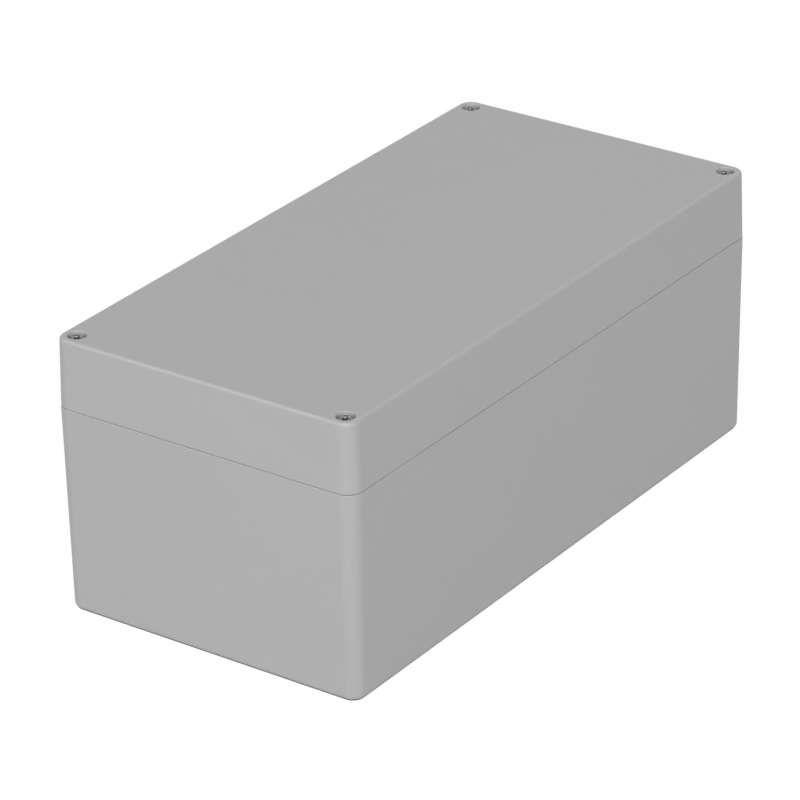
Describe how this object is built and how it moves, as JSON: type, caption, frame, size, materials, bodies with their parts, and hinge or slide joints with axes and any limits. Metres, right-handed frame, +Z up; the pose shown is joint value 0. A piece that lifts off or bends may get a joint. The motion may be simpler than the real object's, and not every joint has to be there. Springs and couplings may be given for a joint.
{
  "type": "polycarbonate enclosure",
  "caption": "Rectangular moulded electronics enclosure with a deep base, a shallow screwed lid, a seal between them and captive corner screws.",
  "frame": {"origin": "centre of the flat underside of the base", "axes": "+X along the length, +Y across the width, +Z up out of the lid"},
  "size_m": [0.24, 0.12, 0.1],
  "materials": {
    "polycarbonate": "light grey, fine moulded texture",
    "silicone": "dull, moulded",
    "stainless_steel": "satin, turned",
    "nylon": "natural, moulded",
    "brass": "turned"
  },
  "bodies": {
    "base": {"base": "polycarbonate", "lid_screw_bush_1": "brass", "lid_screw_bush_2": "brass", "lid_screw_bush_3": "brass", "lid_screw_bush_4": "brass", "boss_bush_1": "brass", "boss_bush_2": "brass", "boss_bush_3": "brass", "boss_bush_4": "brass", "boss_bush_5": "brass", "boss_bush_6": "brass"},
    "lid": {"lid": "polycarbonate", "gasket": "silicone"},
    "screw_washer_1": {"screw_washer_1": "nylon"},
    "lid_screw_1": {"lid_screw_1": "stainless_steel"},
    "screw_washer_2": {"screw_washer_2": "nylon"},
    "lid_screw_2": {"lid_screw_2": "stainless_steel"},
    "screw_washer_3": {"screw_washer_3": "nylon"},
    "lid_screw_3": {"lid_screw_3": "stainless_steel"},
    "screw_washer_4": {"screw_washer_4": "nylon"},
    "lid_screw_4": {"lid_screw_4": "stainless_steel"}
  },
  "joints": [
    {"name": "lid_lift", "type": "slide", "parent": "base", "child": "lid", "axis": [0, 0, 1], "range_m": [0, 0.12]},
    {"name": "screw_rise_1", "type": "slide", "parent": "lid", "child": "screw_washer_1", "axis": [0, 0, 1], "range_m": [0, 0.0084]},
    {"name": "screw_turn_1", "type": "hinge", "parent": "screw_washer_1", "child": "lid_screw_1", "pos_m": [0.1137, 0.0537, 0.0989], "axis": [0, 0, 1], "range_deg": [0, 4320]},
    {"name": "screw_rise_2", "type": "slide", "parent": "lid", "child": "screw_washer_2", "axis": [0, 0, 1], "range_m": [0, 0.0084]},
    {"name": "screw_turn_2", "type": "hinge", "parent": "screw_washer_2", "child": "lid_screw_2", "pos_m": [-0.1137, 0.0537, 0.0989], "axis": [0, 0, 1], "range_deg": [0, 4320]},
    {"name": "screw_rise_3", "type": "slide", "parent": "lid", "child": "screw_washer_3", "axis": [0, 0, 1], "range_m": [0, 0.0084]},
    {"name": "screw_turn_3", "type": "hinge", "parent": "screw_washer_3", "child": "lid_screw_3", "pos_m": [-0.1137, -0.0537, 0.0989], "axis": [0, 0, 1], "range_deg": [0, 4320]},
    {"name": "screw_rise_4", "type": "slide", "parent": "lid", "child": "screw_washer_4", "axis": [0, 0, 1], "range_m": [0, 0.0084]},
    {"name": "screw_turn_4", "type": "hinge", "parent": "screw_washer_4", "child": "lid_screw_4", "pos_m": [0.1137, -0.0537, 0.0989], "axis": [0, 0, 1], "range_deg": [0, 4320]}
  ],
  "couplings": [
    {"joint": "screw_turn_1", "follows": "screw_rise_1", "rad_per_m": 8976},
    {"joint": "screw_turn_2", "follows": "screw_rise_2", "rad_per_m": 8976},
    {"joint": "screw_turn_3", "follows": "screw_rise_3", "rad_per_m": 8976},
    {"joint": "screw_turn_4", "follows": "screw_rise_4", "rad_per_m": 8976}
  ]
}
